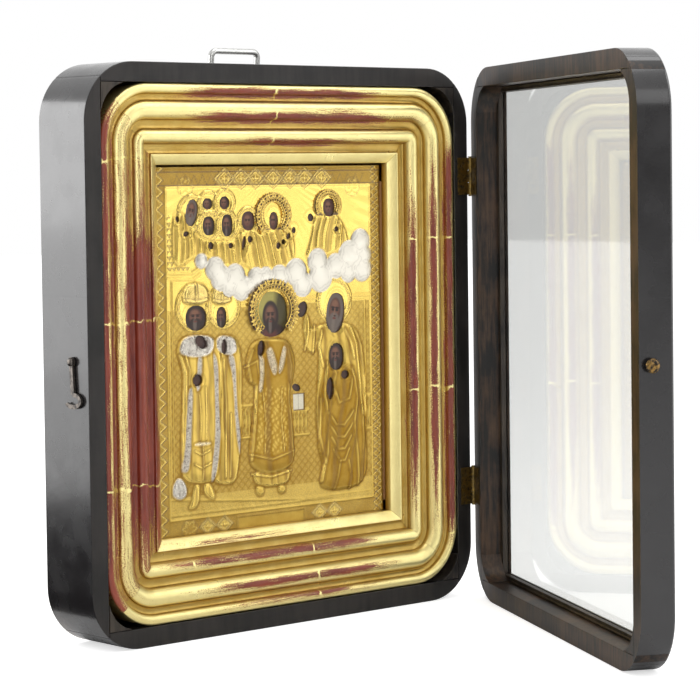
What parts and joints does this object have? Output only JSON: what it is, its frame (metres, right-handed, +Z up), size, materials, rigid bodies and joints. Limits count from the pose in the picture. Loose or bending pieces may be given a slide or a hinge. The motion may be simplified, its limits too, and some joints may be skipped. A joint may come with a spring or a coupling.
{
  "type": "icon in glazed case",
  "caption": "Household icon under an embossed gilt metal cover, in a gilded ribbed frame inside a rounded black wooden case with a glazed door, hook latch and hanging bail.",
  "frame": {"origin": "middle of the case's flat underside", "axes": "+Z up, +X to the viewer's right, the front faces -Y"},
  "size_m": [0.4486, 0.4562, 0.4865],
  "materials": {
    "black_lacquered_wood": "black polish over veneer, worn at the edges",
    "bare_wood": "unfinished softwood, browned with age",
    "old_panel_wood": "unfinished, dark with age",
    "gilded_wood": "water gilding over red bole, burnished and worn",
    "painted_panel": "tempera on gesso, darkened",
    "gilt_sheet_metal": "embossed and gilt, with silvered clouds and bands",
    "brass": "aged",
    "steel": "dull bright wire and sheet",
    "clear_glass": "clear, flat"
  },
  "bodies": {
    "case": {"applied_halo_central": "gilt_sheet_metal", "applied_halo_right": "gilt_sheet_metal", "applied_halo_upper": "gilt_sheet_metal", "back_board": "bare_wood", "case_bottom_board": "black_lacquered_wood", "case_corner_fillet_bottom_left": "black_lacquered_wood", "case_corner_fillet_bottom_right": "black_lacquered_wood", "case_corner_fillet_top_left": "black_lacquered_wood", "case_corner_fillet_top_right": "black_lacquered_wood", "case_left_side": "black_lacquered_wood", "case_right_side": "black_lacquered_wood", "case_top_board": "black_lacquered_wood", "gilt_moulding_bottom": "gilded_wood", "gilt_moulding_left": "gilded_wood", "gilt_moulding_right": "gilded_wood", "gilt_moulding_top": "gilded_wood", "hanging_strap": "steel", "hanging_strap_screw_left": "steel", "hanging_strap_screw_right": "steel", "hinge_case_leaf_lower": "brass", "hinge_case_leaf_upper": "brass", "hinge_case_screw_lower_lower": "brass", "hinge_case_screw_lower_upper": "brass", "hinge_case_screw_upper_lower": "brass", "hinge_case_screw_upper_upper": "brass", "hinge_pin_lower": "brass", "hinge_pin_upper": "brass", "icon_batten_lower": "old_panel_wood", "icon_batten_upper": "old_panel_wood", "icon_board": "painted_panel", "icon_retaining_strip_left": "bare_wood", "icon_retaining_strip_right": "bare_wood", "latch_pivot_screw": "brass", "oklad_cover": "gilt_sheet_metal"},
    "door": {"door_bottom_rail": "black_lacquered_wood", "door_corner_fillet_bottom_left": "black_lacquered_wood", "door_corner_fillet_bottom_right": "black_lacquered_wood", "door_corner_fillet_top_left": "black_lacquered_wood", "door_corner_fillet_top_right": "black_lacquered_wood", "door_free_stile": "black_lacquered_wood", "door_glass": "clear_glass", "door_hinge_stile": "black_lacquered_wood", "door_top_rail": "black_lacquered_wood", "glazing_bead_bottom": "black_lacquered_wood", "glazing_bead_free": "black_lacquered_wood", "glazing_bead_hinge": "black_lacquered_wood", "glazing_bead_top": "black_lacquered_wood", "hinge_door_leaf_lower": "brass", "hinge_door_leaf_upper": "brass", "hinge_door_screw_lower_lower": "brass", "hinge_door_screw_lower_upper": "brass", "hinge_door_screw_upper_lower": "brass", "hinge_door_screw_upper_upper": "brass", "latch_stud": "brass"},
    "hook": {"latch_hook": "brass"},
    "bail": {"hanging_bail": "steel"}
  },
  "joints": [
    {"name": "door_hinge", "type": "hinge", "parent": "case", "child": "door", "pos_m": [0.2117, -0.0315, 0.23675], "axis": [0, 0, 1], "range_deg": [-62.5, 112.5]},
    {"name": "latch_hook_pivot", "type": "hinge", "parent": "case", "child": "hook", "pos_m": [-0.2108, -0.0106, 0.2324], "axis": [1, 0, 0], "range_deg": [-90, 45]},
    {"name": "hanging_bail_pivot", "type": "hinge", "parent": "case", "child": "bail", "pos_m": [-0.0045, 0.03515, 0.455], "axis": [1, 0, 0], "range_deg": [-175, 0]}
  ]
}
